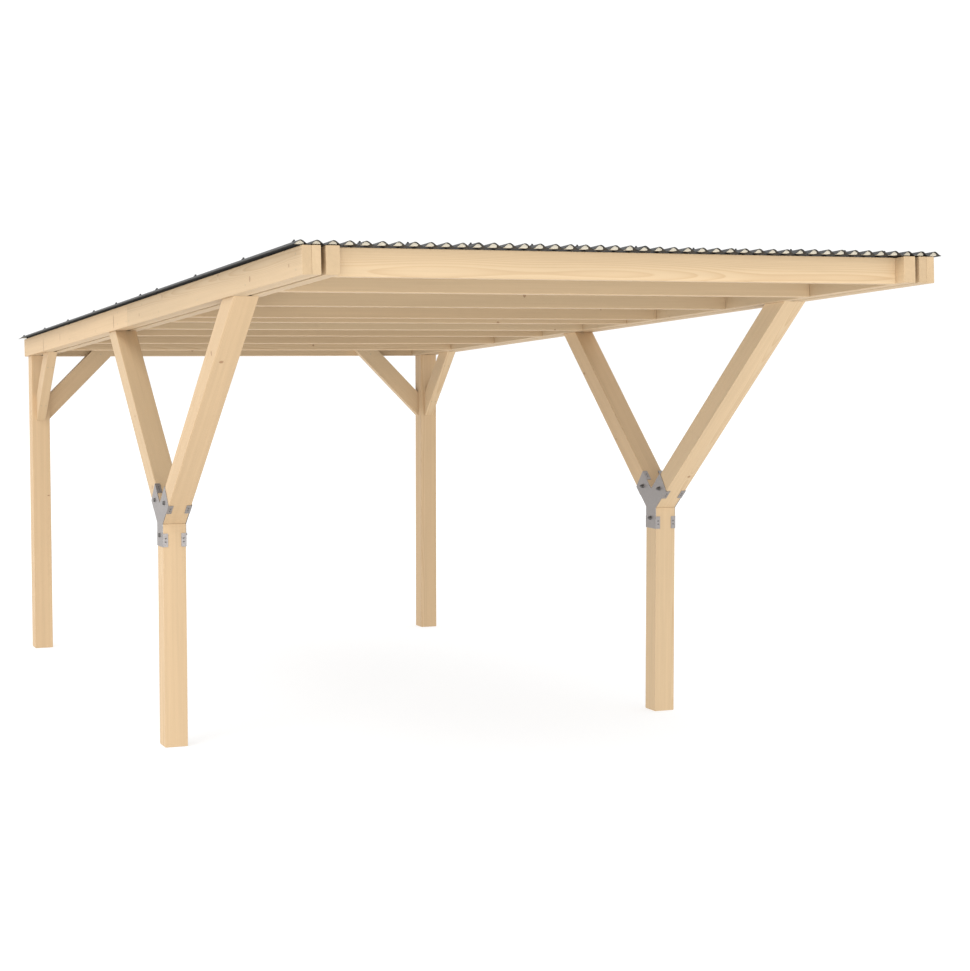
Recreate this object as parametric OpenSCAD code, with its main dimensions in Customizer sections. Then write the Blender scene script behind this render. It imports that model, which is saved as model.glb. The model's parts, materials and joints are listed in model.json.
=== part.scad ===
// Open single carport of planed timber. Two square posts at the rear and two Y-shaped
// forks further forward carry a pair of side beams, cross-beams and a corrugated roof
// that falls towards the rear.
//
// Frame: +Z up, +Y from the open front to the rear, +X to the right seen from the front.
// The origin is on the ground, under the middle of the whole carport.

/* [Roof] */
// Length of the side beams, measured down the slope
roof_l = 6530; // [5400:10:7900]
// Width over the outer faces of the fascia boards
roof_w = 3000; // [2500:10:3600]
// Clear height under the side beams at their front end
front_h = 2375; // [2100:5:2900]
// How much lower the rear end of the side beams is
roof_fall = 360; // [150:5:600]

/* [Timber sections] */
// Side of the square posts and of the fork arms
post_s = 120; // [90:5:160]
// Depth of every roof timber
beam_h = 120; // [90:5:180]
// Thickness of the side beams and of the cross-beams
beam_t = 60; // [40:5:80]
// Thickness of the fascia boards, the side boards and the front board
board_t = 40; // [20:2:50]
// Open slot between the side board and the side beam
slot_w = 20; // [5:1:40]
// How far the posts stand in from the outer faces of the fascia boards
post_inset = 15; // [0:1:40]

/* [Cross-beams] */
// Setback of the front board from the front ends of the side beams
front_setback = 70; // [0:5:150]
// Front face of the first cross-beam, from the front end of the roof
first_beam_at = 820; // [650:10:950]
// Joint of the fascia boards and side beams, forward of the middle of the roof
splice_forward = 25; // [0:5:80]
// Front face of the beam ahead of the joint, from the joint
ahead_of_splice = 390; // [150:5:450]
// Front face of the beam behind the joint, from the joint
behind_splice = 215; // [60:5:350]

/* [Forks] */
// Distance of the fork posts' centre from the front end of the roof, on the ground
fork_at = 2570; // [2200:10:2900]
// Height of the short fork posts
fork_post_h = 1170; // [900:10:1400]
// Lean of the front arms from upright, in degrees
front_lean = 51; // [40:0.5:54]
// Lean of the rear arms from upright, in degrees
rear_lean = 49.5; // [40:0.5:54]

/* [Fork plates] */
// Thickness of the steel
plate_t = 3; // [2:0.5:5]
// Reach of the plate down the post
plate_foot = 120; // [90:5:160]
// Reach of the plate up each arm, along the arm's lower edge
plate_reach = 165; // [140:5:220]
// Length of the ears that fold round the timber
ear_l = 70; // [40:5:80]
// Width of the ears
ear_w = 25; // [15:1:35]

/* [Knee braces] */
// Thickness of the braces
brace_t = 60; // [40:5:80]
// Depth of the braces, measured square to them
brace_d = 120; // [80:5:140]
// Drop from the side beams down to the braces' lower tips, at the front of the rear posts
brace_drop = 450; // [300:5:900]
// Distance from the top of a rear brace to the top of the rear beam
brace_top_drop = 20; // [0:5:60]

/* [Roof sheets] */
// Pitch of the corrugation
wave_l = 70; // [56:1:84]
// Depth of the corrugation
wave_h = 18; // [12:1:30]
// Thickness of the sheets
sheet_t = 2.5; // [1.5:0.5:4]
// Least overhang of the sheets past the fascia boards; whole waves round it up
sheet_overhang = 35; // [0:5:100]

/* [Hidden] */

LEFT = -1;
RIGHT = 1;
FRONT = -1;
REAR = 1;
brace_lean = 45;       // knee braces stand at 45 degrees
sheet_count = 4;       // sheets side by side
seat_gap = 0.3;        // play under the sheets and in their side laps
wave_steps = 16;       // straight facets in one wave
timber = [0.90, 0.78, 0.64];
timber_light = [0.94, 0.84, 0.71];
steel = [0.65, 0.62, 0.61];
sheet_grey = [0.17, 0.17, 0.18];

// Roof frame: x as in the whole carport, y down the slope from the front ends of the side
// beams, z square to the slope from their underside.
slope = asin(roof_fall / roof_l);
sheet_top = beam_h + 2 * seat_gap + 2 * sheet_t + wave_h;
carport_l = roof_l * cos(slope) + sheet_top * sin(slope);
front_y = -carport_l / 2;

// Places across the carport, for the right-hand side
fascia_x = roof_w / 2 - board_t;
side_board_x = fascia_x - board_t;
side_beam_x = side_board_x - slot_w - beam_t;
post_x = roof_w / 2 - post_inset - post_s;

// Places down the slope
splice_y = roof_l / 2 - splice_forward;
rear_beam_y = roof_l - beam_t;
beam_pitch = (rear_beam_y - front_setback) / 8;
beam_at = [
    first_beam_at,
    front_setback + 2 * beam_pitch,
    front_setback + 3 * beam_pitch,
    splice_y - ahead_of_splice,
    splice_y + behind_splice,
    front_setback + 5 * beam_pitch,
    front_setback + 6 * beam_pitch,
    front_setback + 7 * beam_pitch
];

// Places along the ground
fork_y = front_y + fork_at;
rear_post_back = front_y + rear_beam_y * cos(slope);
rear_post_y = rear_post_back - post_s / 2;
brace_foot_h = underside(rear_post_back - post_s) - brace_drop;
brace_top_h = underside(rear_post_back) + beam_h * cos(slope) - brace_top_drop;

// The corrugation is in whole waves, centred on the roof
roof_waves = ceil((roof_w + 2 * sheet_overhang) / wave_l);
sheet_waves = ceil(roof_waves / sheet_count);

// Height of the roof timbers' underside over a place y along the ground
function underside(y) = front_h - (y - front_y) * tan(slope);

// The arms lie in the plane of y and z: way is FRONT or REAR
function arm_lean(way) = way == FRONT ? front_lean : rear_lean;
function arm_dir(way) = [way * sin(arm_lean(way)), cos(arm_lean(way))];
// Start of an arm's lower edge, on the edge of the post's top
function arm_low(way) = [fork_y + way * post_s / 2, fork_post_h];
// The arm's upper edge, square across from the start of the lower one
function arm_high(way) =
    arm_low(way) + post_s * [-way * cos(arm_lean(way)), sin(arm_lean(way))];
// Point where the upper edge meets the middle of the post
function arm_crotch(way) =
    arm_high(way) + arm_dir(way) * (fork_y - arm_high(way)[0]) / arm_dir(way)[0];
// Where a line from p in direction d meets the underside of the side beams
function up_to_roof(p, d) = p + d * (underside(p[0]) - p[1]) / (d[1] + d[0] * tan(slope));

// Height of the corrugation's middle line above its lowest point, at x from a trough
function wave(x) = wave_h / 2 * (1 - cos(360 * x / wave_l));

// A slab that stands in the plane of y and z, from x to x + thick
module upright_slab(points, x, thick) {
    translate([x, 0, 0]) rotate([90, 0, 90]) linear_extrude(thick) polygon(points);
}

// Places its children in the roof frame
module on_slope() {
    translate([0, front_y, front_h]) rotate([-slope, 0, 0]) children();
}

// Mirrors a right-hand piece to its own side
module on_side(side) {
    mirror([side == LEFT ? 1 : 0, 0, 0]) children();
}

module rear_post(side) {
    y0 = rear_post_y - post_s / 2;
    color(timber) on_side(side) upright_slab([
        [y0, 0], [rear_post_back, 0],
        [rear_post_back, underside(rear_post_back)], [y0, underside(y0)]
    ], post_x, post_s);
}

module fork_post(side) {
    color(timber) on_side(side)
        translate([post_x, fork_y - post_s / 2, 0]) cube([post_s, post_s, fork_post_h]);
}

module fork_arm(side, way) {
    color(timber) on_side(side) upright_slab([
        [fork_y, fork_post_h],
        arm_low(way),
        up_to_roof(arm_low(way), arm_dir(way)),
        up_to_roof(arm_high(way), arm_dir(way)),
        arm_crotch(way)
    ], post_x, post_s);
}

// The three ears of one half of a fork plate, as rectangles on the timber's edges: up the
// post from the plate's foot, and at the end of the arm along its lower and upper edge
function plate_ears(way) =
    let (d = arm_dir(way), e = arm_low(way) - arm_high(way), out = e / norm(e),
         foot = [fork_y + way * post_s / 2, fork_post_h - plate_foot],
         low = arm_low(way) + plate_reach * d, high = arm_high(way) + plate_reach * d)
    [ear_outline(foot, [0, 1], [way, 0]), ear_outline(low, -d, out), ear_outline(high, -d, -out)];

// Rectangle on an edge: from the point p, ear_l in direction d, one plate thick towards out
function ear_outline(p, d, out) =
    [p, p + plate_t * out, p + plate_t * out + ear_l * d, p + ear_l * d];

// Outline of one half of a fork plate, from the foot of the post up to the crotch
function plate_half(way) =
    let (ears = plate_ears(way), post = ears[0], low = ears[1], high = ears[2])
    [post[1], post[2], post[3], arm_low(way), low[3], low[2], low[1],
     high[1], high[2], high[3], arm_crotch(way)];

// Fork plate with its outside at x = 0 and the timber's side at x = plate_t
module fork_plate_body() {
    rear_half = plate_half(REAR);
    front_half = plate_half(FRONT);
    turned = [for (i = [len(front_half) - 1:-1:0]) front_half[i]];
    upright_slab(concat(rear_half, turned), 0, plate_t);
    for (way = [FRONT, REAR])
        for (ear = plate_ears(way))
            upright_slab(ear, 0, plate_t + ear_w);
}

module fork_plate(side, outer) {
    color(steel) on_side(side)
        if (outer)
            translate([post_x + post_s + plate_t, 0, 0]) mirror([1, 0, 0]) fork_plate_body();
        else
            translate([post_x - plate_t, 0, 0]) fork_plate_body();
}

// Brace from a rear post forward to the side beam
module side_brace(side) {
    front_face = rear_post_y - post_s / 2;
    d = [-sin(brace_lean), cos(brace_lean)];
    low = [front_face, brace_foot_h];
    high = low + [0, brace_d / sin(brace_lean)];
    color(timber_light) on_side(side)
        upright_slab([low, high, up_to_roof(high, d), up_to_roof(low, d)],
                     post_x + (post_s - brace_t) / 2, brace_t);
}

// Brace from a rear post inward, lapped on the front face of the rear beam
module rear_brace(side) {
    rise = brace_top_h - brace_foot_h;
    contact = brace_d / sin(brace_lean);
    color(timber_light) on_side(side)
        translate([0, rear_post_back, 0]) rotate([90, 0, 0]) linear_extrude(brace_t)
            polygon([
                [post_x, brace_foot_h],
                [post_x, brace_foot_h + contact],
                [post_x - (rise - contact) * tan(brace_lean), brace_top_h],
                [post_x - rise * tan(brace_lean), brace_top_h]
            ]);
}

// A roof timber along the slope from y0 to y1, with its inner face at x
module long_timber(side, x, thick, y0, y1) {
    color(timber) on_side(side) on_slope()
        translate([x, y0, 0]) cube([thick, y1 - y0, beam_h]);
}

module fascia(side, way) {
    long_timber(side, fascia_x, board_t,
                way == FRONT ? 0 : splice_y, way == FRONT ? splice_y : roof_l);
}

module side_board(side) {
    long_timber(side, side_board_x, board_t, 0, roof_l);
}

module side_beam(side, way) {
    long_timber(side, side_beam_x, beam_t,
                way == FRONT ? 0 : splice_y, way == FRONT ? splice_y : roof_l);
}

// A timber from side beam to side beam with its front face at y down the slope
module cross_timber(y, thick) {
    color(timber_light) on_slope()
        translate([-side_beam_x, y, 0]) cube([2 * side_beam_x, thick, beam_h]);
}

module front_board() {
    cross_timber(front_setback, board_t);
}

module cross_beam(n) {
    cross_timber(beam_at[n - 1], beam_t);
}

module rear_beam() {
    cross_timber(rear_beam_y, beam_t);
}

// Every sheet but the last runs one wave on into its neighbour. Sheets 2 and 4 lie one sheet
// higher and lap over the others.
module roof_sheet(n) {
    first_wave = sheet_waves * (n - 1);
    last_wave = min(sheet_waves * n + 1, roof_waves);
    steps = (last_wave - first_wave) * wave_steps;
    lift = n % 2 == 0 ? sheet_t + seat_gap : 0;
    under = [for (i = [0:steps]) let (x = i * wave_l / wave_steps) [x, wave(x)]];
    over = [for (i = [steps:-1:0]) under[i] + [0, sheet_t]];
    color(sheet_grey) on_slope()
        translate([wave_l * (first_wave - roof_waves / 2), roof_l, beam_h + seat_gap + lift])
            rotate([90, 0, 0]) linear_extrude(roof_l) polygon(concat(under, over));
}

rear_post(LEFT);  // post_rear_left
rear_post(RIGHT);  // post_rear_right
fork_post(LEFT);  // fork_post_left
fork_post(RIGHT);  // fork_post_right
fork_arm(LEFT, FRONT);  // arm_front_left
fork_arm(RIGHT, FRONT);  // arm_front_right
fork_arm(LEFT, REAR);  // arm_rear_left
fork_arm(RIGHT, REAR);  // arm_rear_right
fork_plate(LEFT, true);  // fork_plate_left_outer
fork_plate(LEFT, false);  // fork_plate_left_inner
fork_plate(RIGHT, true);  // fork_plate_right_outer
fork_plate(RIGHT, false);  // fork_plate_right_inner
side_brace(LEFT);  // brace_side_left
side_brace(RIGHT);  // brace_side_right
rear_brace(LEFT);  // brace_rear_left
rear_brace(RIGHT);  // brace_rear_right
fascia(LEFT, FRONT);  // fascia_left_front
fascia(LEFT, REAR);  // fascia_left_rear
fascia(RIGHT, FRONT);  // fascia_right_front
fascia(RIGHT, REAR);  // fascia_right_rear
side_board(LEFT);  // side_board_left
side_board(RIGHT);  // side_board_right
side_beam(LEFT, FRONT);  // side_beam_left_front
side_beam(LEFT, REAR);  // side_beam_left_rear
side_beam(RIGHT, FRONT);  // side_beam_right_front
side_beam(RIGHT, REAR);  // side_beam_right_rear
front_board();
cross_beam(1);  // cross_beam_1
cross_beam(2);  // cross_beam_2
cross_beam(3);  // cross_beam_3
cross_beam(4);  // cross_beam_4
cross_beam(5);  // cross_beam_5
cross_beam(6);  // cross_beam_6
cross_beam(7);  // cross_beam_7
cross_beam(8);  // cross_beam_8
rear_beam();
roof_sheet(1);  // roof_sheet_1
roof_sheet(2);  // roof_sheet_2
roof_sheet(3);  // roof_sheet_3
roof_sheet(4);  // roof_sheet_4
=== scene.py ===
# %% [markdown]
# # An open single carport
# This lesson dresses a carport whose shape is already settled. Forty solids come from a
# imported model: posts, Y-shaped forks, beams, boards, steel plates and roof sheets. Here they
# get eased edges, solid-wood grain, zinc, coated steel, and every bolt and screw.

# %% Load the fixed frame
import math
import json
import random

import bmesh
import bpy
import numpy as np
from mathutils import Matrix, Vector


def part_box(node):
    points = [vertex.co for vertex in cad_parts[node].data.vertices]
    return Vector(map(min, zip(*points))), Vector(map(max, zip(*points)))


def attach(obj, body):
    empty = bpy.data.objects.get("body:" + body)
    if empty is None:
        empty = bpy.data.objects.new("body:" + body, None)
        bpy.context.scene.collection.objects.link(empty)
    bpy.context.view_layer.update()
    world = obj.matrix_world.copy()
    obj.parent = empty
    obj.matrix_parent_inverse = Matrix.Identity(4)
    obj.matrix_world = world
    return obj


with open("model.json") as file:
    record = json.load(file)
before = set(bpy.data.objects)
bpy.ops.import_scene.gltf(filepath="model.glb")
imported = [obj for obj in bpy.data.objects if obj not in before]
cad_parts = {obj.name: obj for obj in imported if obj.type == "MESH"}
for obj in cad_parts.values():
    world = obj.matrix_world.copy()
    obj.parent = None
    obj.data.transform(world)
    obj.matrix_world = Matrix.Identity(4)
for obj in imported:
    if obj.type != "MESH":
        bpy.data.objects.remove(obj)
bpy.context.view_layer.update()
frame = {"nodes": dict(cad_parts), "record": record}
nodes = frame["nodes"]

# %% [markdown]
# ## Measuring in the carport's own directions
# The roof slopes, so a box along X, Y and Z says little about it. A better ruler is a
# direction: the reach of a piece along it, from its lowest to its highest vertex. The grain
# of a timber runs square to its two largest pairs of faces, so that can be measured too.

# %% Directions and reaches
ACROSS = Vector((1, 0, 0))
SIDES = ("left", "right")
MM = 0.001
corners = {name: np.array([v.co for v in piece.data.vertices]) for name, piece in nodes.items()}


def reach(node, direction):
    """Lowest and highest place of a node's vertices along a direction."""
    places = corners[node] @ np.array(direction)
    return float(places.min()), float(places.max())


def middle(node, direction):
    """Place halfway along a node's reach."""
    return sum(reach(node, direction)) / 2


def grain_of(node):
    """Direction of the grain: square to the faces that hold the most area."""
    areas = {}
    for face in nodes[node].data.polygons:
        normal = face.normal
        same = next((n for n in areas if abs(n.dot(normal)) > 0.999), None)
        if same is None:
            same = normal.copy().freeze()
            areas[same] = 0
        areas[same] += face.area
    first, second = sorted(areas, key=areas.get, reverse=True)[:2]
    grain = first.cross(second).normalized()
    longest = max(grain, key=abs)
    return grain if longest > 0 else -grain


DOWN = grain_of("side_board_left")
UP = ACROSS.cross(DOWN).normalized()
if UP.z < 0:
    UP = -UP
slope = math.degrees(math.asin(-DOWN.z))
print(f"the roof falls {slope:.2f} degrees to the rear")


def on_roof(x, down, up):
    """Point at x across, and at these places down and square to the slope."""
    return ACROSS * x + DOWN * down + UP * up


# %% [markdown]
# ## The camera
# A long lens a good way off keeps the beams' lines calm. It stands to the left of the open
# front, a little lower than the roof, and looks slightly down, so both forks, the rear posts
# and the undersides of the beams show.

# %% Camera
CAMERA_PLACE = (-3.959, -11.226, 2.090)
TURN_RIGHT = 22.195
LOOK_DOWN = 3.874
LENS = 76.47

lens = bpy.data.cameras.new("camera")
lens.lens = LENS
lens.sensor_width = 36
camera = bpy.data.objects.new("camera", lens)
camera.location = CAMERA_PLACE
camera.rotation_euler = (math.radians(90 - LOOK_DOWN), 0, math.radians(-TURN_RIGHT))
bpy.context.collection.objects.link(camera)
bpy.context.scene.camera = camera
print(f"camera with a {LENS} mm lens at {CAMERA_PLACE}")

# %% [markdown]
# ## Stage and light
# A pale studio is a bright dome over a pale floor. The floor gives light of its own, as a
# light table does, so the shade under the roof stays soft. One wide sun adds just enough
# direction to tell the faces of a timber apart. Two long, low panels, one in front and one on
# the left, reach in under the roof, where a lamp from above would stop at the sheets.

# %% Stage and light
FLOOR_RADIUS = 80.0
DOME_STRENGTH = 1.05
FLOOR_GREY = 0.36
FLOOR_GLOW = 0.74
SUN_STRENGTH = 0.85
SUN_WIDTH = 28
SUN_FROM = Vector((-0.75, -0.62, 1.15))
PANEL_SIZE = (12.0, 1.8)
PANEL_AIM = Vector((0, 0, 1.8))
PANELS = {
    "front_panel": (Vector((-2.5, -14.0, 0.95)), 620),
    "side_panel": (Vector((-14.0, -1.5, 1.0)), 480),
}

scene = bpy.context.scene
scene.view_settings.view_transform = "Standard"

dome = bpy.data.worlds.new("dome")
dome.use_nodes = True
sky = dome.node_tree.nodes["Background"]
sky.inputs["Color"].default_value = (1, 1, 1, 1)
sky.inputs["Strength"].default_value = DOME_STRENGTH
scene.world = dome


def add_light(name, kind, power, towards_light):
    """Adds a light that shines from a direction."""
    light = bpy.data.lights.new(name, kind)
    light.energy = power
    lamp = bpy.data.objects.new(name, light)
    lamp.rotation_euler = towards_light.to_track_quat("Z", "Y").to_euler()
    scene.collection.objects.link(lamp)
    return lamp


sun = add_light("sun", "SUN", SUN_STRENGTH, SUN_FROM)
sun.data.angle = math.radians(SUN_WIDTH)
for name, (place, power) in PANELS.items():
    panel = add_light(name, "AREA", power, place - PANEL_AIM)
    panel.data.shape = "RECTANGLE"
    panel.data.size, panel.data.size_y = PANEL_SIZE
    panel.location = place
    panel.visible_camera = False
print(f"a dome, one sun and {len(PANELS)} panels")

# %% [markdown]
# ## Writing shader maths as sums
# A node tree is easier to read as an expression. `Wire` wraps one socket, and its operators
# add the Math nodes, so `1 - mask` or `distance / width` works as it does on numbers.
# `Finish` is a material with one method for every other node: its type, its settings and
# what goes into its sockets.


# %% Wires and finishes
class Wire:
    """A socket that can be used in sums."""

    def __init__(self, finish, socket):
        self.finish = finish
        self.socket = socket

    def maths(self, operation, *values):
        """A Math node on this wire and the values after it."""
        inputs = dict(enumerate((self, *values)))
        return self.finish.node("Math", {"operation": operation}, inputs)

    def __add__(self, other):
        return self.maths("ADD", other)

    def __mul__(self, other):
        return self.maths("MULTIPLY", other)

    def __sub__(self, other):
        return self.maths("SUBTRACT", other)

    def __rsub__(self, other):
        return self * -1 + other

    def __truediv__(self, other):
        return self.maths("DIVIDE", other)

    def __rtruediv__(self, other):
        return self.maths("POWER", -1) * other

    def __pow__(self, other):
        return self.maths("POWER", other)

    __radd__ = __add__
    __rmul__ = __mul__

    def clamped(self):
        """This wire, held between 0 and 1."""
        return self.maths("MINIMUM", 1).maths("MAXIMUM", 0)

    def ramp(self, start, stop):
        """0 at start, 1 at stop, straight between them and held beyond."""
        return ((self - start) / (stop - start)).clamped()


class Finish:
    """A material whose nodes are added by one method."""

    def __init__(self, name):
        self.material = bpy.data.materials.new(name)
        self.material.use_nodes = True
        self.tree = self.material.node_tree
        self.shader = self.tree.nodes["Principled BSDF"]

    def node(self, kind, settings=None, inputs=None, output=0):
        """Adds a shader node, sets it up, fills its sockets and gives back one output."""
        made = self.tree.nodes.new("ShaderNode" + kind)
        for key, value in (settings or {}).items():
            setattr(made, key, value)
        for key, value in (inputs or {}).items():
            self.fill(made.inputs[key], value)
        return Wire(self, made.outputs[output])

    def fill(self, socket, value):
        """Links a wire to a socket, or sets a plain value on it."""
        if isinstance(value, Wire):
            self.tree.links.new(value.socket, socket)
        elif isinstance(value, tuple) and len(socket.default_value) == 4:
            socket.default_value = (*value, 1)
        else:
            socket.default_value = value

    def place(self):
        """The point being shaded."""
        return self.node("TexCoord", output="Object")

    def reach(self, vector, direction):
        """How far a vector goes along a direction."""
        inputs = {0: vector, 1: tuple(direction)}
        return self.node("VectorMath", {"operation": "DOT_PRODUCT"}, inputs, "Value")

    def facing(self, direction):
        """1 where the face being shaded looks along a direction, and -1 where it looks back."""
        return self.reach(self.node("NewGeometry", output="True Normal"), direction)

    def parts(self, vector):
        """The three numbers of a vector."""
        split = self.node("SeparateXYZ", None, {0: vector}).socket.node
        return [Wire(self, socket) for socket in split.outputs]

    def vector(self, x, y, z):
        """A vector of three numbers."""
        return self.node("CombineXYZ", None, {0: x, 1: y, 2: z})

    def mix(self, factor, first, second, blend="MIX"):
        """Colour mix from first to second."""
        settings = {"data_type": "RGBA", "blend_type": blend}
        return self.node("Mix", settings, {0: factor, 6: first, 7: second}, 2)

    def noise(self, vector, scale, detail=2.0, roughness=0.5):
        """Noise from 0 to 1 over a vector."""
        inputs = {"Vector": vector, "Scale": scale, "Detail": detail, "Roughness": roughness}
        return self.node("TexNoise", None, inputs)

    def stretched(self, vector, along, square):
        """A vector with its first part scaled apart from the other two."""
        inputs = {0: vector, 1: (along, square, square)}
        return self.node("VectorMath", {"operation": "MULTIPLY"}, inputs)

    def bump(self, height, strength, distance):
        """A normal from a height."""
        inputs = {"Height": height, "Strength": strength, "Distance": distance}
        return self.node("Bump", None, inputs)

    def surface(self, **inputs):
        """Fills the shader's sockets, named with _ for a space."""
        for key, value in inputs.items():
            self.fill(self.shader.inputs[key.replace("_", " ")], value)
        return self.material


print("wires and finishes are ready")

# %% Floor
FLOOR_DROP = 0.5 * MM

floor_finish = Finish("floor")
floor_finish.surface(
    Base_Color=(FLOOR_GREY,) * 3,
    Roughness=0.9,
    Specular_IOR_Level=0.0,
    Emission_Color=(1, 1, 1),
    Emission_Strength=FLOOR_GLOW,
)
floor_mesh = bpy.data.meshes.new("floor")
disc = bmesh.new()
bmesh.ops.create_circle(disc, cap_ends=True, segments=96, radius=FLOOR_RADIUS)
disc.to_mesh(floor_mesh)
disc.free()
floor_mesh.materials.append(floor_finish.material)
floor = bpy.data.objects.new("floor", floor_mesh)
floor.location.z = -FLOOR_DROP
scene.collection.objects.link(floor)
print(f"a round floor, {2 * FLOOR_RADIUS:.0f} m wide")

# %% [markdown]
# ## Eased edges
# Planed timber never has a knife edge: the plane eases it by about 3 mm. A Bevel modifier
# does that without touching the fixed mesh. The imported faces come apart, so a Weld joins
# them first, and a Weighted Normal keeps the flat faces looking flat.


# %% Ease the edges
TIMBER_EASE = 3 * MM
WELD_GAP = 0.02 * MM
FLAT_WEIGHT = 80


def ease(node, width, segments=2, angle=30):
    """Welds a node's faces together and rounds its edges."""
    piece = nodes[node]
    weld = piece.modifiers.new("weld", "WELD")
    weld.merge_threshold = WELD_GAP
    bevel = piece.modifiers.new("eased_edges", "BEVEL")
    bevel.width = width
    bevel.segments = segments
    bevel.limit_method = "ANGLE"
    bevel.angle_limit = math.radians(angle)
    normals = piece.modifiers.new("flat_faces", "WEIGHTED_NORMAL")
    normals.weight = FLAT_WEIGHT
    normals.keep_sharp = True


slots = {part["node"]: part["material_slot"] for part in frame["record"]["subparts"]}
timbers = sorted(node for node, slot in slots.items() if slot == "timber")
plates = sorted(node for node, slot in slots.items() if slot == "fork_steel")
sheets = sorted(node for node, slot in slots.items() if slot == "roof_sheet")
for node in timbers:
    ease(node, TIMBER_EASE)
print(f"{len(timbers)} timbers, {len(plates)} plates and {len(sheets)} sheets")

# %% [markdown]
# ## Solid spruce
# A picture of wood wrapped round a beam gives itself away at the ends, where the grain of
# four faces doesn't meet. Real grain is solid: rings round a pith that runs along the log,
# which the saw cuts at any angle. So the shader works in the log's own frame, with x along
# the pith. The distance from the pith gives the rings, and the angle round it places the
# knots, which are branches that grew outwards. Faces, edges and ends then agree by
# themselves, and each timber is cut from a log of its own.

# %% Branches
WHORL_SPACING = 0.55
BRANCH_ANGLE = 0.8
BRANCH_SPREAD = 0.5
BRANCH_CHANCE = 0.62
KNOT_CHANCE = 0.66
KNOT_ONSET = 1 / 60
KNOT_GROWTH = 22 * MM
TWIG = 0.4 * MM
KNOT_RING = 0.9 * MM
KNOT_STRETCH = 0.8


def branches(f, along, angle, radius):
    """Knots, their dark rims, the rings inside them, and how far they push the years out."""
    cell = f.vector(along / WHORL_SPACING, angle / BRANCH_ANGLE, 0.0)
    inputs = {"Vector": cell, "Scale": 1.0, "Randomness": BRANCH_SPREAD}
    branch = f.node("TexVoronoi", {"voronoi_dimensions": "2D"}, inputs)
    outputs = branch.socket.node.outputs
    chance = f.parts(Wire(f, outputs["Color"]))[0]
    centre_along, centre_angle, _ = f.parts(Wire(f, outputs["Position"]))
    off_along = along - centre_along * WHORL_SPACING
    off_round = (angle - centre_angle * BRANCH_ANGLE) * radius
    off = (off_along ** 2 * KNOT_STRETCH + off_round ** 2) ** 0.5
    knot_radius = (chance - BRANCH_CHANCE).maths("MAXIMUM", 0.0) * KNOT_GROWTH + TWIG
    turns = off / knot_radius
    knot = turns.ramp(1.1, 0.9) * chance.ramp(KNOT_CHANCE, KNOT_CHANCE + KNOT_ONSET)
    rim = (1 - (turns - 0.98).maths("ABSOLUTE") * 5).clamped() * knot
    heart = (off / KNOT_RING).maths("FRACT") * 0.25 + (1 - turns).clamped() * 0.35
    push = knot_radius * 1.9 / (1 + turns ** 2)
    return knot, rim, heart, push


print(f"whorls of branches every {WHORL_SPACING} m")

# %% [markdown]
# A year starts pale and fast and ends dark and slow, and the next one starts pale again at
# once. So each ring is a slow rise to dark and then a step back. Years differ, and a slow
# noise over the ring's number makes some of them darker than others.

# %% Year rings
LATE_SHARPNESS = 2.6
LATE_ENDS = 0.93
STEP_BACK = 1 / 14


def late_wood(f, grown, ring_width):
    """Share of dark late wood, for how far the log has grown."""
    years = grown / ring_width
    ring = years.maths("FRACT")
    late = ring ** LATE_SHARPNESS * (1 - ring.ramp(LATE_ENDS, LATE_ENDS + STEP_BACK))
    weather = f.noise(f.vector(years * 0.31, 0.0, 0.0), 1.0, 1.0)
    return late * (weather * 0.9 + 0.25)


print(f"late wood ends at {LATE_ENDS} of a year")

# %% [markdown]
# The rings and branches then meet in one material. Fibres, clouds and bands of colour go on
# top, and end grain is a little darker and rougher than the faces along the log.

# %% Spruce
EARLY_WOOD = (0.565, 0.415, 0.252)
LATE_WOOD = (0.445, 0.288, 0.150)
KNOT_WOOD = (0.300, 0.160, 0.075)
KNOT_RIM = (0.160, 0.080, 0.036)
PITH_WANDER = 45 * MM
RING_SWAY = 14 * MM
LOG_TAPER = 0.006
END_GRAIN_FROM = 0.55


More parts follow.
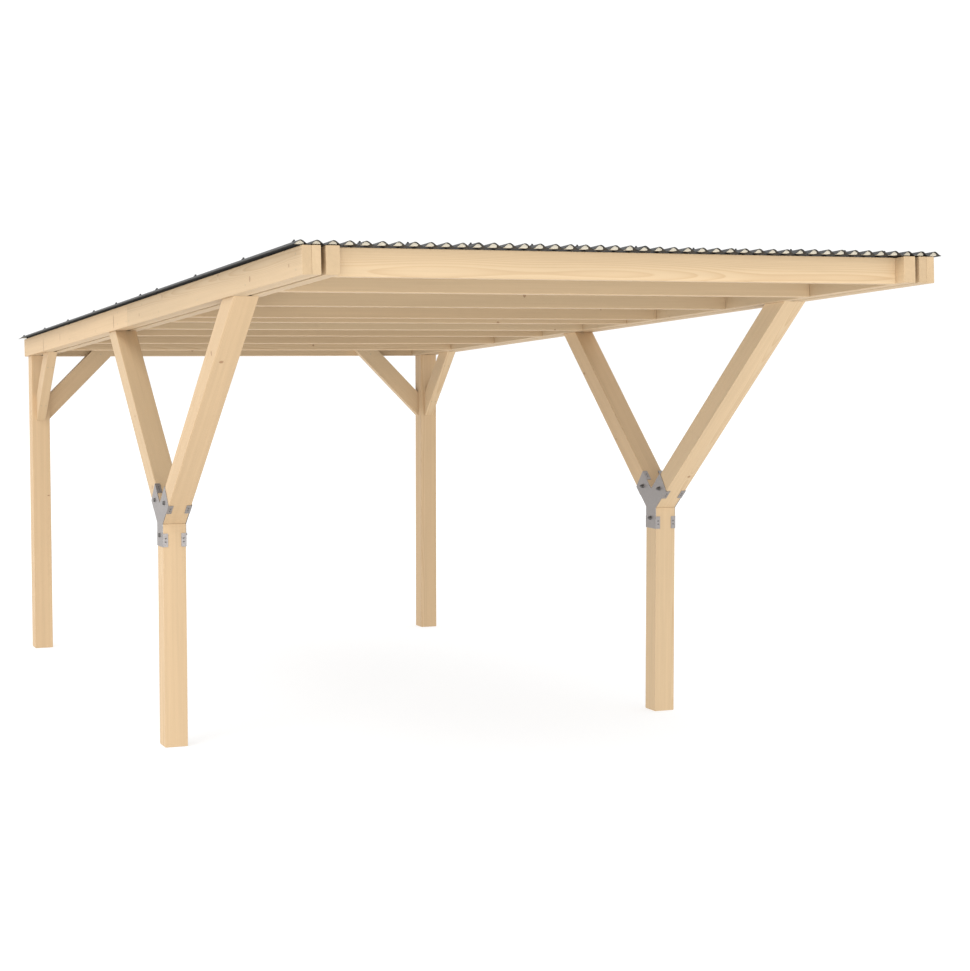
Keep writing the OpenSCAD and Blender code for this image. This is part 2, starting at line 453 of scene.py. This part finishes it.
def spruce(name, log, tone, warmth, ring_width):
    """Solid spruce in the frame of its log, with x along the pith."""
    f = Finish(name)
    turn = tuple(log.to_euler())
    spot = tuple(log.translation)
    inputs = {"Vector": f.place(), "Location": spot, "Rotation": turn}
    inside = f.node("Mapping", {"vector_type": "TEXTURE"}, inputs)
    along, side, rise = f.parts(inside)

    # The pith wanders, the log tapers, and branches push the years outward
    wander = f.noise(f.stretched(inside, 0.55, 0.5), 1.0, 1.0) - 0.5
    sway = f.noise(f.stretched(inside, 0.75, 3.0), 1.0, 2.0) - 0.5
    side = side + wander * PITH_WANDER
    radius = (side ** 2 + rise ** 2) ** 0.5
    angle = rise.maths("ARCTAN2", side)
    knot, rim, heart, push = branches(f, along, angle, radius)
    late = late_wood(f, radius + along * LOG_TAPER + sway * RING_SWAY + push, ring_width)

    # Fibres, and the slow change of colour along a board
    fibre = f.noise(f.stretched(inside, 5.0, 420.0), 1.0, 3.0, 0.6)
    cloud = f.noise(f.stretched(inside, 0.9, 7.0), 1.0, 2.0)
    band = f.noise(f.stretched(inside, 0.7, 48.0), 1.0, 2.0)

    grain = log.to_3x3() @ Vector((1, 0, 0))
    end_grain = f.facing(grain).maths("ABSOLUTE").ramp(END_GRAIN_FROM, END_GRAIN_FROM + 1 / 6)

    colour = f.mix(late * 0.85, EARLY_WOOD, LATE_WOOD)
    shade = 0.75 + fibre * 0.16 + cloud * 0.16 + band * 0.16
    shade = shade * (1 - end_grain * 0.13) * tone
    blush = f.vector(shade, shade * warmth, shade * warmth * warmth)
    colour = f.mix(1.0, colour, blush, "MULTIPLY")
    colour = f.mix(knot * (0.5 + heart), colour, KNOT_WOOD)
    colour = f.mix(rim * 0.7, colour, KNOT_RIM)

    height = late * 0.5 + fibre * 0.5 - rim * 0.6
    rough = 0.56 + late * 0.1 + fibre * 0.08 + end_grain * 0.15 - knot * 0.12
    return f.surface(
        Base_Color=colour,
        Roughness=rough,
        Specular_IOR_Level=0.35,
        Normal=f.bump(height, 0.35, 0.6 * MM),
    )


print("spruce is ready")


# %% [markdown]
# ## One log for each timber
# Sawn timber is cut beside the pith, to keep it from twisting. Each log frame gets its pith
# a little outside the section, on a side picked by a seed made of the timber's name.


# %% Cut every timber from its own log
PITH_OUTSIDE = (15 * MM, 50 * MM)
LOG_STARTS = (-4, 4)
TONES = (0.94, 1.05)
WARMTHS = (0.975, 1.015)
RING_WIDTHS = (2.6, 4.2)


def log_frame(node, chance):
    """Frame with x along the grain and its origin on the pith, beside the section."""
    grain = grain_of(node)
    helper = ACROSS if abs(grain.dot(ACROSS)) < 0.9 else Vector((0, 1, 0))
    square = grain.cross(helper).normalized()
    third = grain.cross(square)
    low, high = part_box(node)
    centre = (low + high) / 2
    spread = max(high - low for low, high in (reach(node, square), reach(node, third)))
    lean = chance.uniform(0, 2 * math.pi)
    away = square * math.cos(lean) + third * math.sin(lean)
    pith = centre - away * (spread * 0.5 + chance.uniform(*PITH_OUTSIDE))
    axes = Matrix((grain, away, grain.cross(away))).transposed().to_4x4()
    start = grain * chance.uniform(*LOG_STARTS)
    return Matrix.Translation(pith + start) @ axes


def dress(node, material):
    """Puts one material on a node."""
    piece = nodes[node]
    piece.data.materials.clear()
    piece.data.materials.append(material)


for node in timbers:
    chance = random.Random(node)
    log = log_frame(node, chance)
    tone = chance.uniform(*TONES)
    warmth = chance.uniform(*WARMTHS)
    ring_width = chance.uniform(*RING_WIDTHS) * MM
    dress(node, spruce("spruce_" + node, log, tone, warmth, ring_width))
print(f"{len(timbers)} timbers dressed")

# %% [markdown]
# ## Zinc on the fork plates
# Hot-dip zinc freezes into flat crystals, the spangle. Voronoi cells are such crystals, and
# each one gets its own grey and its own gloss.


# %% Zinc
PLATE_GREY = (0.335, 0.314, 0.306)
PLATE_SPANGLE = 9 * MM
PLATE_EASE = 0.7 * MM


def zinc(name, grey, spangle):
    """Galvanised steel with crystals of a given size."""
    f = Finish(name)
    place = f.place()
    warped = f.noise(place, 60.0, 2.0) * 0.012
    inputs = {0: place, 1: f.vector(warped, warped, warped)}
    moved = f.node("VectorMath", {"operation": "ADD"}, inputs)
    crystal = f.node("TexVoronoi", None, {"Vector": moved, "Scale": 1 / spangle}, "Color")
    step = f.parts(crystal)[0]
    cloud = f.noise(place, 18.0, 3.0)
    shade = 0.86 + step * 0.14 + cloud * 0.12
    colour = f.mix(1.0, grey, f.vector(shade, shade, shade), "MULTIPLY")
    scratch = f.noise(place, 900.0, 2.0)
    return f.surface(
        Base_Color=colour,
        Metallic=0.85,
        Roughness=0.42 + step * 0.12 + cloud * 0.1,
        Normal=f.bump(scratch, 0.12, 0.2 * MM),
    )


plate_zinc = zinc("zinc_plate", PLATE_GREY, PLATE_SPANGLE)
for node in plates:
    ease(node, PLATE_EASE)
    dress(node, plate_zinc)
print("plates galvanised")

# %% [markdown]
# ## Coated roof sheets
# The sheets are rolled from coated steel: anthracite above, and a thin dark grey back coat
# below. Which side a point is on follows from its normal against the roof's own upward
# direction. Dust gathers in the troughs, where rain draws it into streaks down the slope.


# %% Coated steel
ANTHRACITE = (0.024, 0.0255, 0.028)
ROOF_DUST = (0.112, 0.111, 0.106)
BACK_COAT = (0.026, 0.025, 0.024)
BACK_DUST = (0.050, 0.048, 0.046)
SHEET_EASE = 0.4 * MM
SIDE_BLEND = 1 / 80


def coated_sheet(name):
    """Anthracite above with dust in the troughs, and a dark grey back coat below."""
    f = Finish(name)
    place = f.place()
    above = f.facing(UP).ramp(-SIDE_BLEND, SIDE_BLEND)
    streak = f.noise(f.stretched(place, 60.0, 0.8), 1.0, 3.0)
    dust = f.noise(place, 5.0, 4.0, 0.6)
    grit = f.noise(place, 1600.0, 2.0)
    trough_at, crest_at = reach("roof_sheet_1", UP)
    trough = f.reach(place, UP).ramp(crest_at, trough_at) ** 2
    washed = (streak * 0.5 + 0.1) * dust + trough * (streak + 0.2) * 0.7
    top = f.mix(washed.clamped(), ANTHRACITE, ROOF_DUST)
    back = f.mix(dust * 0.5, BACK_COAT, BACK_DUST)
    return f.surface(
        Base_Color=f.mix(above, back, top),
        Specular_IOR_Level=0.26,
        Roughness=0.46 + dust * 0.16 + trough * 0.14,
        Normal=f.bump(grit, 0.12, 0.15 * MM),
    )


sheet_coat = coated_sheet("anthracite_coat")
for node in sheets:
    ease(node, SHEET_EASE, segments=1, angle=40)
    dress(node, sheet_coat)
print("sheets coated")

# %% [markdown]
# ## Making small parts
# Bolts, washers, screw heads and caps are all turned shapes. One helper spins a profile of
# radii and heights round an axis. With six sides it makes hexagon heads and nuts, and with
# more it makes the round ones. A profile that stops off the axis leaves that end open, as an
# end that stands on another part can be. Many small parts go into one mesh, which rides on the
# frame.


# %% Turn small parts
SHARP_ANGLE = 35
HEXAGON = 6
BOLT_SIDES = 20
SCREW_SIDES = 14
PAN_SIDES = 12


def in_mm(*profile):
    """A profile of (radius, height) pairs given in millimetres."""
    return [(radius * MM, height * MM) for radius, height in profile]


def stand(point, outward):
    """Place at a point, with z pointing outward."""
    turn = outward.to_track_quat("Z", "Y").to_matrix().to_4x4()
    return Matrix.Translation(point) @ turn


def turned(shape, profile, place, sides):
    """Adds a profile of (radius, height) pairs, spun round z at a place."""
    rings = []
    for radius, height in profile:
        count = sides if radius > 0 else 1
        angles = [2 * math.pi * i / count for i in range(count)]
        ring = [Vector((radius * math.cos(a), radius * math.sin(a), height)) for a in angles]
        rings.append([shape.verts.new(place @ point) for point in ring])
    for lower, upper in zip(rings, rings[1:]):
        for i in range(sides):
            j = (i + 1) % sides
            around = [lower[i % len(lower)], lower[j % len(lower)],
                      upper[j % len(upper)], upper[i % len(upper)]]
            shape.faces.new(dict.fromkeys(around))


def add_piece(name, shape, material):
    """Makes a mesh of small parts into a piece that rides on the frame."""
    mesh = bpy.data.meshes.new(name)
    bmesh.ops.recalc_face_normals(shape, faces=shape.faces)
    shape.to_mesh(mesh)
    shape.free()
    mesh.materials.append(material)
    mesh.shade_smooth()
    mesh.set_sharp_from_angle(angle=math.radians(SHARP_ANGLE))
    piece = bpy.data.objects.new(name, mesh)
    scene.collection.objects.link(piece)
    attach(piece, "root")
    print(f"{name}: {len(mesh.polygons)} faces")


# %% [markdown]
# ## Fork bolts
# Three M12 bolts go through each fork from plate to plate: one through either arm and one
# through the post. The head and a washer sit on the outer plate, the nut and another washer
# on the inner one, with a little thread showing. Their places are measured on the plates.

# %% Fork bolts
BOLT_FROM_PLATE_END = 60 * MM
BOLT_BELOW_POST_TOP = 62 * MM
WASHER = in_mm((0, 0), (12, 0), (12, 2), (11.6, 2.4), (0, 2.4))
HEAD = in_mm((10.9, 2.4), (10.9, 9), (9.6, 10), (0, 10))
NUT = in_mm((10.9, 2.4), (10.9, 11.4), (9.6, 12.4), (6, 12.4))
THREAD = in_mm((6, 12), (6, 17.5), (5.2, 18.3), (0, 18.3))
BOLT_GREY = (0.190, 0.182, 0.178)
BOLT_SPANGLE = 4 * MM
FORK_AHEAD = {"front": -1, "rear": 1}


def leaning(node, square):
    """Upward grain of a leaning timber, and the direction square to it that points down."""
    grain = grain_of(node)
    if grain.z < 0:
        grain = -grain
    below = square.cross(grain)
    return grain, -below if below.z > 0 else below


def arm_frame(way, side):
    """Grain of an arm, its downward direction, and how far down that way its axis lies."""
    arm = f"arm_{way}_{side}"
    grain, below = leaning(arm, ACROSS)
    return grain, below, middle(arm, below)


def arm_point(way, side, from_plate_end, x):
    """Point on an arm's axis, this far back from the end of the fork plate."""
    grain, below, off = arm_frame(way, side)
    end = reach(f"fork_plate_{side}_outer", grain)[1]
    return ACROSS * x + grain * (end - from_plate_end) + below * off


bolt_steel = zinc("zinc_bolt", BOLT_GREY, BOLT_SPANGLE)
for side in SIDES:
    post = f"fork_post_{side}"
    post_y = middle(post, Vector((0, 1, 0)))
    post_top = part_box(post)[1].z
    away = 1 if side == "right" else -1
    bolts = bmesh.new()
    for face, parts in (("outer", (WASHER, HEAD)), ("inner", (WASHER, NUT, THREAD))):
        outward = ACROSS * (away if face == "outer" else -away)
        x = outward.x * reach(f"fork_plate_{side}_{face}", outward)[1]
        spots = [arm_point(way, side, BOLT_FROM_PLATE_END, x) for way in FORK_AHEAD]
        spots.append(Vector((x, post_y, post_top - BOLT_BELOW_POST_TOP)))
        for spot in spots:
            place = stand(spot, outward)
            for part in parts:
                turned(bolts, part, place, HEXAGON if part in (HEAD, NUT) else BOLT_SIDES)
    add_piece(f"fork_bolts_{side}", bolts, bolt_steel)

# %% [markdown]
# ## Screws in the plates' ears
# Each ear folds over an edge of the timber and is held there by two short pan-head screws.

# %% Ear screws
EAR_IN = 12.5 * MM
EAR_ALONG = 35 * MM
EAR_SCREW_GAP = 18 * MM
PLATE_THICK = 3 * MM
PAN_HEAD = in_mm((4.2, 0), (4.2, 0.9), (3.4, 2.0), (1.9, 2.6), (1.7, 1.2), (0, 1.2))

for side in SIDES:
    screws = bmesh.new()
    away = 1 if side == "right" else -1
    for face in ("outer", "inner"):
        plate = f"fork_plate_{side}_{face}"
        inward = -away if face == "outer" else away
        skin = reach(f"fork_post_{side}", ACROSS)
        x = (skin[1] if inward < 0 else skin[0]) + inward * EAR_IN
        for step in (-0.5, 0.5):
            shift = step * EAR_SCREW_GAP
            for way, ahead in FORK_AHEAD.items():
                grain, below, off = arm_frame(way, side)
                half = reach(f"arm_{way}_{side}", below)[1] - off + PLATE_THICK
                axis = arm_point(way, side, EAR_ALONG + shift, x)
                for edge in (-1, 1):
                    place = stand(axis + below * edge * half, below * edge)
                    turned(screws, PAN_HEAD, place, PAN_SIDES)
                front = Vector((0, ahead, 0))
                spot = Vector((x, 0, reach(plate, Vector((0, 0, 1)))[0] + EAR_ALONG + shift))
                spot += front * (reach(f"fork_post_{side}", front)[1] + PLATE_THICK)
                turned(screws, PAN_HEAD, stand(spot, front), PAN_SIDES)
    add_piece(f"ear_screws_{side}", screws, bolt_steel)

# %% [markdown]
# ## Timber screws
# Countersunk screws with a recess for the driver, sunk flush. They hold the fascia boards at
# every cross-beam and beside the splice. The knee braces get theirs in the next step.

# %% Timber screws
SUNK_HEAD = in_mm((4.8, -0.4), (4.8, 0.25), (2.3, 0.35), (1.9, -1.6), (0, -1.6))
SCREW_YELLOW = (0.430, 0.370, 0.250)
SCREW_SPANGLE = 3 * MM
EDGE_GAP = 28 * MM
END_GAP = 30 * MM
LAP_SCREWS = ((120 * MM, 35 * MM), (120 * MM, 85 * MM), (185 * MM, 60 * MM))
BRACE_END_GAP = 150 * MM
BRACE_PAIR_GAP = 30 * MM

screw_steel = zinc("zinc_screw", SCREW_YELLOW, SCREW_SPANGLE)
cross_timbers = ["front_board", *(f"cross_beam_{n}" for n in range(1, 9)), "rear_beam"]
screws = bmesh.new()


def sink_screw(point, outward):
    """Adds one flush screw head."""
    turned(screws, SUNK_HEAD, stand(point, outward), SCREW_SIDES)


splice = reach("fascia_left_front", DOWN)[1]
low, high = reach("fascia_left_front", UP)
downs = [middle(node, DOWN) for node in cross_timbers]
downs += [splice - END_GAP, splice + END_GAP]
for away in (-1, 1):
    outward = ACROSS * away
    x = reach(f"fascia_{SIDES[away > 0]}_front", outward)[1] * away
    for down in downs:
        for up in (low + EDGE_GAP, high - EDGE_GAP):
            sink_screw(on_roof(x, down, up), outward)

# %% [markdown]
# The braces at the rear lap over the rear beam, and three screws go through each lap. Under
# every brace a pair of screws goes into the post, and a side brace has a second pair at its
# upper end, into the beam.

# %% Brace screws
FORWARD = Vector((0, -1, 0))

for side in SIDES:
    brace = f"brace_rear_{side}"
    grain, below = leaning(brace, FORWARD)
    tip = grain * reach(brace, grain)[1]
    lower_edge = below * reach(brace, below)[1]
    skin = FORWARD * reach(brace, FORWARD)[1]
    for back, inward in LAP_SCREWS:
        sink_screw(tip - grain * back + lower_edge - below * inward + skin, FORWARD)

    for brace, square, ends in ((brace, FORWARD, 1), (f"brace_side_{side}", ACROSS, 2)):
        grain, below = leaning(brace, square)
        low, high = reach(brace, grain)
        under = reach(brace, below)[1]
        core = middle(brace, square)
        for along in (low + BRACE_END_GAP, high - BRACE_END_GAP)[:ends]:
            for beside in (-BRACE_PAIR_GAP / 2, BRACE_PAIR_GAP / 2):
                sink_screw(grain * along + below * under + square * (core + beside), below)
add_piece("timber_screws", screws, screw_steel)

# %% [markdown]
# ## The corrugation
# Fillers and roofing screws both need to know where a wave is and how high. The sheets lie
# side by side and lap by one wave, and every second one lies a little higher, on its
# neighbours. So the height under or over a place is asked of every sheet that covers it.

# %% Find the waves
SHEET_THICK = 2.5 * MM
WAVES_IN_SHEET = 12
first_low, first_high = reach("roof_sheet_1", ACROSS)
wave_length = (first_high - first_low) / WAVES_IN_SHEET
roof_edge = reach("roof_sheet_4", ACROSS)[1]
wave_count = round((roof_edge - first_low) / wave_length)
sheet_low, sheet_high = reach("roof_sheet_1", UP)
wave_height = sheet_high - sheet_low - SHEET_THICK


def covering(x):
    """The sheets that lie over x."""
    return [n for n in sheets if reach(n, ACROSS)[0] - MM < x < reach(n, ACROSS)[1] + MM]


def under_sheets(x):
    """Height of the lowest sheet's underside at x."""
    turn = 2 * math.pi * (x - first_low) / wave_length
    return min(reach(n, UP)[0] for n in covering(x)) + wave_height / 2 * (1 - math.cos(turn))


print(f"{wave_count} waves of {wave_length / MM:.0f} mm, {wave_height / MM:.0f} mm deep")

# %% [markdown]
# ## Wave fillers
# Pale foam blocks close the waves at the front and rear ends, to keep birds and leaves out.
# Each one is glued into a crest, a little behind the sheets' end, and follows the underside
# of its wave. The roof's end then shows as a row of pale shapes in a dark wavy line.

# %% Wave fillers
FILLER_GAP = 0.3 * MM
FILLER_STEPS = 16
FILLER_INSET = 14 * MM
FILLER_THICK = 25 * MM
FILLER_LIFT = 5.5 * MM
OPEN_SHARE = 0.27
FOAM = (0.60, 0.545, 0.43)
PALE_FOAM = (0.68, 0.63, 0.52)


def filler_finish():
    """Pale closed-cell foam."""
    f = Finish("pale_foam")
    place = f.place()
    cells = f.node("TexVoronoi", None, {"Vector": place, "Scale": 700.0})
    cloud = f.noise(place, 30.0, 3.0)
    colour = f.mix(cloud, FOAM, PALE_FOAM)
    return f.surface(Base_Color=colour, Roughness=0.85, Normal=f.bump(cells, 0.25, 0.4 * MM))


foam = filler_finish()
front_end, rear_end = reach("roof_sheet_1", DOWN)
base = reach("front_board", UP)[1] + FILLER_LIFT
roof_ends = {"front": (front_end, 1), "rear": (rear_end, -1)}
for end, (outer, inward) in roof_ends.items():
    start = outer + inward * FILLER_INSET
    blocks = bmesh.new()
    for wave in range(wave_count):
        west = first_low + (wave + OPEN_SHARE) * wave_length
        width = wave_length * (1 - 2 * OPEN_SHARE)
        xs = [west + width * i / FILLER_STEPS for i in range(FILLER_STEPS + 1)]
        outline = [(x, under_sheets(x) - FILLER_GAP) for x in xs]
        outline += [(xs[-1], base), (xs[0], base)]
        near, far = ([blocks.verts.new(on_roof(x, down, up)) for x, up in outline]
                     for down in (start, start + inward * FILLER_THICK))
        blocks.faces.new(near)
        blocks.faces.new(far)
        for i in range(len(outline)):
            j = (i + 1) % len(outline)
            blocks.faces.new((near[i], near[j], far[j], far[i]))
    add_piece(f"wave_filler_{end}", blocks, foam)

# %% [markdown]
# ## Roofing screws
# Sheets are screwed through the tops of their waves, where no water runs, into every timber
# that crosses the roof. Each screw has a domed washer and a small hexagon head in the sheet's
# colour. A soft washer would bend down over the wave. This one is round and stiff, so its rim
# stands nearly 2 mm clear of the sheet beside the crest, and it is open underneath. The laps
# are always screwed, and two more waves of each sheet.

# %% Roofing screws
SCREWED_WAVES = (0, 4, 7)
DOME_WASHER = in_mm((9.5, -1.2), (9.5, 0.4), (8.4, 1.6), (6.2, 2.6), (0, 3.0))
HEX_HEAD = in_mm((4.6, 2.6), (4.6, 7.0), (3.9, 7.8), (0, 7.8))
CAP_DARK = (0.022, 0.023, 0.025)
CAP_PALE = (0.050, 0.050, 0.052)

cap_finish = Finish("screw_cap")
speckle = cap_finish.noise(cap_finish.place(), 500.0, 2.0)
cap_finish.surface(
    Base_Color=cap_finish.mix(speckle, CAP_DARK, CAP_PALE),
    Roughness=0.45 + speckle * 0.1,
)
waves = [w for w in range(wave_count) if w % (WAVES_IN_SHEET - 1) in SCREWED_WAVES]
waves.append(wave_count - 1)
caps = bmesh.new()
for timber in cross_timbers:
    down = middle(timber, DOWN)
    for wave in waves:
        x = first_low + (wave + 0.5) * wave_length
        top = max(reach(n, UP)[1] for n in covering(x))
        place = stand(on_roof(x, down, top), UP)
        turned(caps, DOME_WASHER, place, SCREW_SIDES)
        turned(caps, HEX_HEAD, place, HEXAGON)
add_piece("roof_screws", caps, cap_finish.material)
